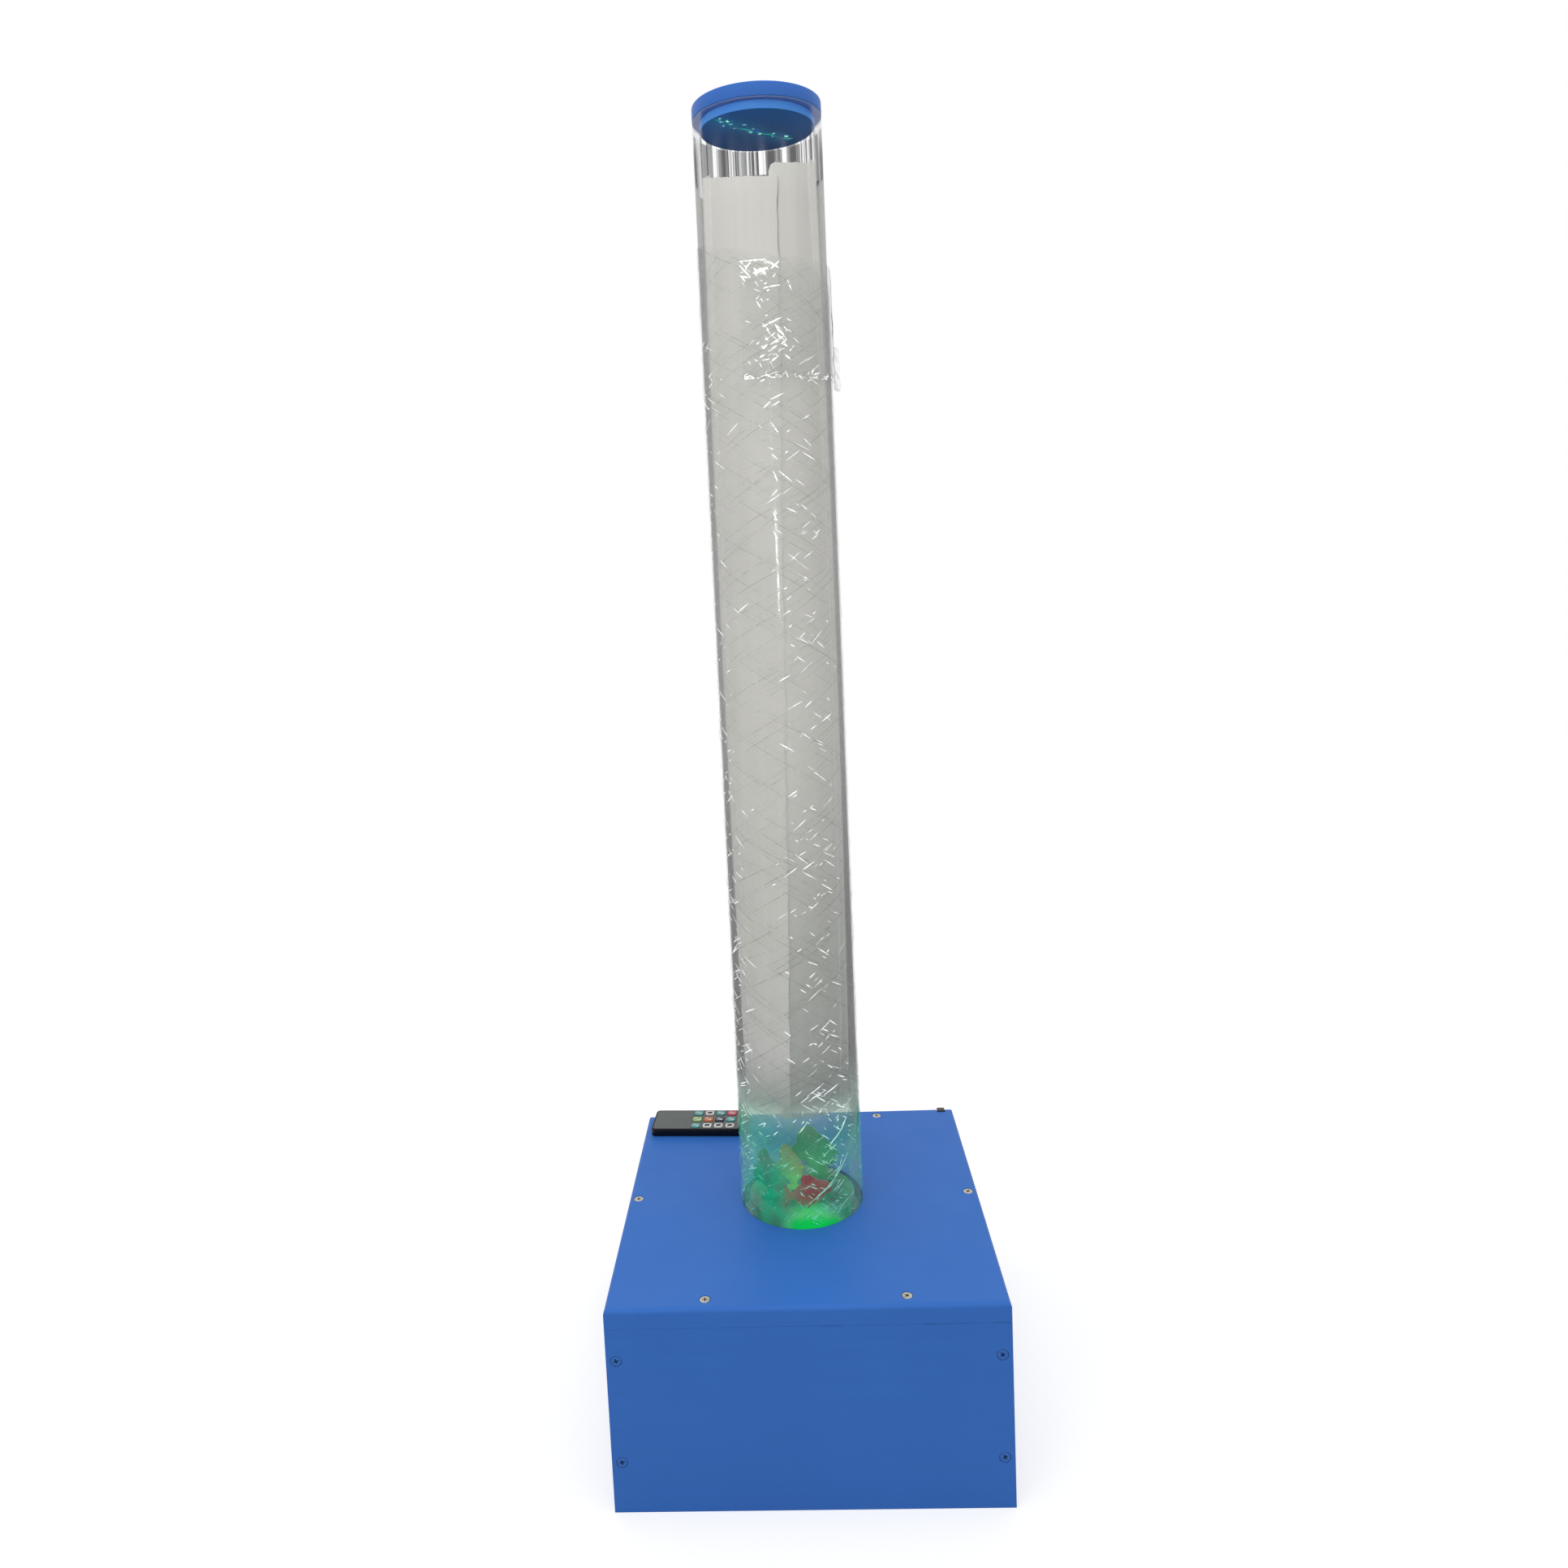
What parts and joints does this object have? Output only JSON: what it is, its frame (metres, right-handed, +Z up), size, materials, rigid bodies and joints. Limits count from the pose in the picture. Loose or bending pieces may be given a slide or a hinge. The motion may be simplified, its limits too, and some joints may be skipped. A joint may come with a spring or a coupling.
{
  "type": "bubble tube lamp",
  "caption": "Clear upright tube with a disc cap, standing in a square painted wooden base box that holds an air pump and a lamp, with toy fish inside and a card remote on top.",
  "frame": {"origin": "middle of the underside of the base box, on the floor", "axes": "+Z up along the tube, front of the box faces -Y, +X to the right seen from the front"},
  "size_m": [0.296, 0.296, 1.0458],
  "materials": {
    "blue_paint": "blue paint, satin",
    "bare_board": "bare",
    "zinc_steel": "bright zinc",
    "iron": "plain",
    "clear_acrylic": "clear, polished",
    "frosted_acrylic": "frosted, lit green",
    "milky_sheet": "milky",
    "clear_film": "clear film",
    "white_plastic": "white",
    "black_plastic": "black",
    "grey_plastic": "dark grey",
    "black_rubber": "black",
    "board_green": "green solder mask",
    "red_plastic": "red",
    "green_plastic": "green",
    "yellow_plastic": "yellow",
    "teal_plastic": "teal",
    "teal_key": "teal",
    "white_key": "white",
    "dark_key": "dark grey",
    "lime_key": "lime",
    "orange_key": "orange",
    "red_key": "red"
  },
  "bodies": {
    "base": {"base_top": "blue_paint", "base_front": "blue_paint", "base_back": "blue_paint", "base_left": "blue_paint", "base_right": "blue_paint", "base_bottom": "bare_board", "top_screw_1": "zinc_steel", "top_screw_2": "zinc_steel", "top_screw_3": "zinc_steel", "top_screw_4": "zinc_steel", "top_screw_5": "zinc_steel", "top_screw_6": "zinc_steel", "front_screw_1": "zinc_steel", "front_screw_2": "zinc_steel", "front_screw_3": "zinc_steel", "front_screw_4": "zinc_steel", "tube": "clear_acrylic", "tube_base_plate": "clear_acrylic", "air_barb": "white_plastic", "bubble_disc": "frosted_acrylic", "lamp_board": "board_green", "liner_sheet": "milky_sheet", "stretch_wrap": "clear_film", "wrap_tape": "clear_film", "pump_tray": "black_plastic", "pump_cover": "grey_plastic", "pump_coil": "iron", "air_hose_lower": "black_rubber", "check_valve": "white_plastic", "air_hose_upper": "black_rubber", "dc_inlet": "black_plastic", "switch_body": "black_plastic", "controller_case": "black_plastic", "receiver_eye": "black_plastic", "wire_loom": "black_rubber"},
    "cap": {"cap_disc": "blue_paint", "cap_plug": "blue_paint"},
    "fish_red": {"fish_red": "red_plastic"},
    "fish_green": {"fish_green": "green_plastic"},
    "fish_yellow": {"fish_yellow": "yellow_plastic"},
    "fish_teal": {"fish_teal": "teal_plastic"},
    "remote": {"remote_case": "grey_plastic"},
    "battery_drawer": {"battery_tray": "black_plastic", "coin_cell": "zinc_steel"},
    "key_a1": {"key_a1": "teal_key"},
    "key_a2": {"key_a2": "white_key"},
    "key_a3": {"key_a3": "teal_key"},
    "key_a4": {"key_a4": "red_key"},
    "key_b1": {"key_b1": "lime_key"},
    "key_b2": {"key_b2": "orange_key"},
    "key_b3": {"key_b3": "dark_key"},
    "key_b4": {"key_b4": "teal_key"},
    "key_c1": {"key_c1": "teal_key"},
    "key_c2": {"key_c2": "white_key"},
    "key_c3": {"key_c3": "white_key"},
    "key_c4": {"key_c4": "white_key"},
    "rocker": {"switch_rocker": "red_plastic"},
    "pump_arm": {"pump_arm": "iron", "pump_diaphragm": "black_rubber"}
  },
  "joints": [
    {"name": "cap_lift", "type": "slide", "parent": "base", "child": "cap", "axis": [0, 0, 1], "range_m": [0, 0.06]},
    {"name": "fish_red_rise", "type": "slide", "parent": "base", "child": "fish_red", "axis": [0, 0, 1], "range_m": [0, 0.7]},
    {"name": "fish_green_rise", "type": "slide", "parent": "base", "child": "fish_green", "axis": [0, 0, 1], "range_m": [0, 0.7]},
    {"name": "fish_yellow_rise", "type": "slide", "parent": "base", "child": "fish_yellow", "axis": [0, 0, 1], "range_m": [0, 0.7]},
    {"name": "fish_teal_rise", "type": "slide", "parent": "base", "child": "fish_teal", "axis": [0, 0, 1], "range_m": [0, 0.7]},
    {"name": "remote_lift", "type": "slide", "parent": "base", "child": "remote", "axis": [0, 0, 1], "range_m": [0, 0.08]},
    {"name": "battery_drawer_slide", "type": "slide", "parent": "remote", "child": "battery_drawer", "axis": [-0.9986, 0.0523, 0], "range_m": [0, 0.025]},
    {"name": "key_a1_press", "type": "slide", "parent": "remote", "child": "key_a1", "axis": [0, 0, -1], "range_m": [0, 0.0005], "stiffness_N_per_m": 400},
    {"name": "key_a2_press", "type": "slide", "parent": "remote", "child": "key_a2", "axis": [0, 0, -1], "range_m": [0, 0.0005], "stiffness_N_per_m": 400},
    {"name": "key_a3_press", "type": "slide", "parent": "remote", "child": "key_a3", "axis": [0, 0, -1], "range_m": [0, 0.0005], "stiffness_N_per_m": 400},
    {"name": "key_a4_press", "type": "slide", "parent": "remote", "child": "key_a4", "axis": [0, 0, -1], "range_m": [0, 0.0005], "stiffness_N_per_m": 400},
    {"name": "key_b1_press", "type": "slide", "parent": "remote", "child": "key_b1", "axis": [0, 0, -1], "range_m": [0, 0.0005], "stiffness_N_per_m": 400},
    {"name": "key_b2_press", "type": "slide", "parent": "remote", "child": "key_b2", "axis": [0, 0, -1], "range_m": [0, 0.0005], "stiffness_N_per_m": 400},
    {"name": "key_b3_press", "type": "slide", "parent": "remote", "child": "key_b3", "axis": [0, 0, -1], "range_m": [0, 0.0005], "stiffness_N_per_m": 400},
    {"name": "key_b4_press", "type": "slide", "parent": "remote", "child": "key_b4", "axis": [0, 0, -1], "range_m": [0, 0.0005], "stiffness_N_per_m": 400},
    {"name": "key_c1_press", "type": "slide", "parent": "remote", "child": "key_c1", "axis": [0, 0, -1], "range_m": [0, 0.0005], "stiffness_N_per_m": 400},
    {"name": "key_c2_press", "type": "slide", "parent": "remote", "child": "key_c2", "axis": [0, 0, -1], "range_m": [0, 0.0005], "stiffness_N_per_m": 400},
    {"name": "key_c3_press", "type": "slide", "parent": "remote", "child": "key_c3", "axis": [0, 0, -1], "range_m": [0, 0.0005], "stiffness_N_per_m": 400},
    {"name": "key_c4_press", "type": "slide", "parent": "remote", "child": "key_c4", "axis": [0, 0, -1], "range_m": [0, 0.0005], "stiffness_N_per_m": 400},
    {"name": "rocker_tilt", "type": "hinge", "parent": "base", "child": "rocker", "pos_m": [0.02, 0.1425, 0.04], "axis": [0, 0, 1], "range_deg": [0, 16]},
    {"name": "pump_arm_swing", "type": "hinge", "parent": "base", "child": "pump_arm", "pos_m": [-0.098, 0.0526, 0.0283], "axis": [0, 0, 1], "range_deg": [-1.5, 1.5], "stiffness_Nm_per_rad": 0.3}
  ]
}
